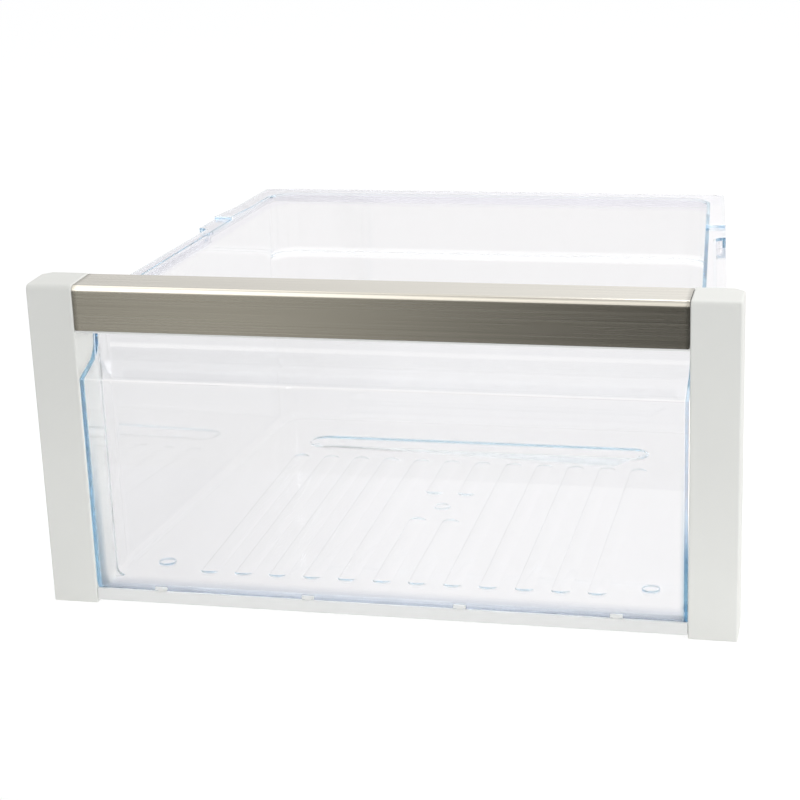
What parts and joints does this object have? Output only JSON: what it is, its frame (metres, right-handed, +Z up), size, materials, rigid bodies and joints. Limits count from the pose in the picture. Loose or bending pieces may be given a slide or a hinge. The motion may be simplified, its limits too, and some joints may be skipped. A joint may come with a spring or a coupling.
{
  "type": "fridge crisper drawer",
  "caption": "Clear moulded refrigerator crisper drawer with a flanged rim, fluted floor, grey end caps, a white bottom rail and a brushed steel handle bar over a finger recess.",
  "frame": {"origin": "middle of the base of the whole drawer's box, on the surface that it stands on", "axes": "+X to the right along the front, +Y into the cabinet, +Z up; the front faces -Y"},
  "size_m": [0.455, 0.4, 0.22],
  "materials": {
    "clear_plastic": "clear moulded polystyrene, polished, faintly blue in its edges",
    "cap_grey": "light warm grey moulded plastic, fine satin",
    "carrier_white": "white moulded plastic, satin",
    "steel_trim": "stainless sheet brushed along its length"
  },
  "bodies": {
    "root": {"tub": "clear_plastic", "end_cap_left": "cap_grey", "end_cap_right": "cap_grey", "handle_core": "carrier_white", "handle_trim": "steel_trim", "bottom_rail": "carrier_white"}
  },
  "joints": []
}
